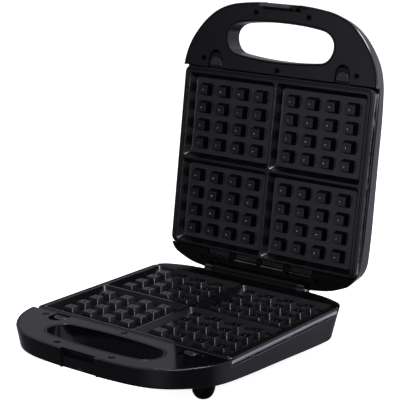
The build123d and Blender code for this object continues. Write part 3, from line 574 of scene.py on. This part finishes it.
def release_button(half, side):
    """slide with an arched, ribbed finger tab; the slide, its nose and the tab's lower edge take the near-black second
    material as painted shade
    """
    M, _ = HALF[half]
    node = f"{half}_plate_button_{side}"
    low, high = (Vector(c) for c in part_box(node))
    cx = math.copysign(85.8, (M.inverted() @ ((low + high) / 2)).x)
    s = Shape()

    def tab(d, z):
        w, y1, yc, top = 8.3 - d, -113.0 - d, -115.4, 8.4 - d
        pts = [(cx - w, y1), (cx - w, yc)]
        pts += [(cx - w * math.cos(math.pi * i / 16), yc - top * math.sin(math.pi * i / 16)) for i in range(1, 16)]
        pts += [(cx + w, yc), (cx + w, y1)]
        return s.ring(pts[::-1], z)
    rings = [tab(-0.15, -3.6), tab(0.0, -1.25), tab(0.12, -0.95), tab(0.4, -0.75)]
    for k, (a, b) in enumerate(zip(rings, rings[1:])):
        s.bridge(a, b, 1 if k == 0 else 0)
    ribs = []
    for dx in (-5.0, -2.5, 0.0, 2.5, 5.0):
        y0 = -119.4 - 1.8 * (1 - (dx / 6.5) ** 2)
        lo = s.ring(corner_ring(cx + dx - 0.62, cx + dx + 0.62, y0, -114.2, 0.6, 3), -0.75)
        hi = s.ring(corner_ring(cx + dx - 0.3, cx + dx + 0.3, y0 + 0.32, -114.52, 0.29, 3), -0.4)
        s.bridge(lo, hi)
        s.fill([hi])
        ribs.append(lo)
    s.fill([rings[-1]] + ribs)
    plate = [s.ring(corner_ring(cx - 11.8 + d, cx + 11.8 - d, -128.2 + d, -110.9 - d, 1.2, 3), z) for d, z in ((0.3, -3.6), (0.0, -3.9), (0.0, -6.4), (0.2, -6.6))]
    for a, b in zip(plate, plate[1:]):
        s.bridge(a, b, 1)
    s.fill([plate[0], rings[0]], 1)
    s.fill([plate[-1]], 1)
    nose = [s.ring(corner_ring(cx - 8.6, cx + 8.6, -112.0, -110.0, 0.5, 3), z) for z in (-6.1, -4.5)]
    s.bridge(*nose, 1)
    s.fill([nose[0]], 1)
    s.fill([nose[1]], 1)
    return s.obj(node + "_piece", M, frame["nodes"][node]["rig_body"], [MATS["button_plastic"], MATS["button_shadow"]], [node], smooth=35)


def button_spring(half, side):
    """the coil beside the button, copied from the imported solid onto a mesh of its own"""
    node = f"{half}_button_spring_{side}"
    ob = edged(node, [], mats=[MATS["spring_steel"]])
    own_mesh(ob)


for half in ("lower", "upper"):
    for side in ("left", "right"):
        release_button(half, side)
        button_spring(half, side)

for name, ob in frame["nodes"].items():
    mats = ob.data.materials
    mt = MATS[SLOT_OF[name]]
    if len(mats):
        for i in range(len(mats)):
            mats[i] = mt
    else:
        mats.append(mt)


# ------------------------------------------------------------------ floor, light
def plane(name, size, loc, rot=(0, 0, 0)):
    me = bpy.data.meshes.new(name)
    a = size / 2
    me.from_pydata([(-a, -a, 0), (a, -a, 0), (a, a, 0), (-a, a, 0)], [], [(0, 1, 2, 3)])
    ob = bpy.data.objects.new(name, me)
    scene.collection.objects.link(ob)
    ob.location = loc
    ob.rotation_euler = rot
    return ob


def stage():
    floor = plane("floor", 30, (0, 0, -0.0004))
    m = material("floor_pale", (0.84, 0.84, 0.84), 0.6, var=0.01, var_scale=3, grain=60, bump=0.0, rough_var=0.03)
    b = m.node_tree.nodes["Principled BSDF"]
    b.inputs["Emission Color"].default_value = (1, 1, 1, 1)
    b.inputs["Emission Strength"].default_value = 0.82
    m.cycles.emission_sampling = "NONE"
    floor.data.materials.append(m)
    floor.visible_glossy = False
    floor.visible_diffuse = False


def studio():
    """a grey room with soft cards, given by direction"""
    w = bpy.data.worlds.new("studio")
    scene.world = w
    w.use_nodes = True
    n, l = w.node_tree.nodes, w.node_tree.links
    bg = n["Background"]
    co = n.new("ShaderNodeTexCoord")
    level = None
    for i, (centre, lo, hi, value) in enumerate(CARDS):
        d = n.new("ShaderNodeVectorMath")
        d.operation = "DOT_PRODUCT"
        l.new(co.outputs["Generated"], d.inputs[0])
        d.inputs[1].default_value = Vector(centre).normalized()
        r = n.new("ShaderNodeMapRange")
        r.interpolation_type = "SMOOTHSTEP"
        r.inputs["From Min"].default_value = math.cos(math.radians(hi))
        r.inputs["From Max"].default_value = math.cos(math.radians(lo))
        r.inputs["To Min"].default_value = 0.0
        r.inputs["To Max"].default_value = value
        l.new(d.outputs["Value"], r.inputs["Value"])
        add = n.new("ShaderNodeMath")
        add.operation = "ADD"
        l.new(r.outputs["Result"], add.inputs[0])
        if level is None:
            add.inputs[1].default_value = ROOM
        else:
            l.new(level, add.inputs[1])
        level = add.outputs[0]
    tint = n.new("ShaderNodeMix")
    tint.data_type = "RGBA"
    tint.blend_type = "MULTIPLY"
    tint.inputs["Factor"].default_value = 1.0
    tint.inputs["B"].default_value = (0.965, 0.955, 1.12, 1)
    l.new(level, tint.inputs["A"])
    lp = n.new("ShaderNodeLightPath")
    mix = n.new("ShaderNodeMix")
    mix.data_type = "RGBA"
    mix.inputs["B"].default_value = (1.0, 1.0, 1.0, 1)
    l.new(lp.outputs["Is Camera Ray"], mix.inputs["Factor"])
    l.new(tint.outputs["Result"], mix.inputs["A"])
    l.new(mix.outputs["Result"], bg.inputs["Color"])


def softbox(name, loc, target, size, power, size_y=None):
    d = bpy.data.lights.new(name, "AREA")
    d.energy = power
    d.shape = "RECTANGLE"
    d.size, d.size_y = size, size_y or size
    ob = bpy.data.objects.new(name, d)
    scene.collection.objects.link(ob)
    ob.location = loc
    ob.rotation_euler = (Vector(target) - Vector(loc)).to_track_quat("-Z", "Y").to_euler()
    return ob


# radiance of the room, then (direction, full within, gone beyond, added radiance)
ROOM = 0.072
CARDS = [
    ((0.74, 0.62, 0.2), 38, 58, 0.4),
    ((-0.5, 0.8, 0.4), 35, 75, 0.22),
    ((-0.35, -0.85, 0.3), 14, 34, 0.125),
    ((0.42, -0.88, 0.2), 48, 63, 0.46),
    ((-0.56, 0.08, 0.83), 13, 20, 0.5),
    ((0.63, -0.39, 0.667), 9, 16, 3.0),
]
stage()
studio()
softbox("top", (1.05, 0.15, 1.9), (0, 0.1, 0.2), 0.7, 36)
softbox("key", (1.2, -1.75, 0.54), (0, 0, 0.1), 1.0, 24, 0.24)
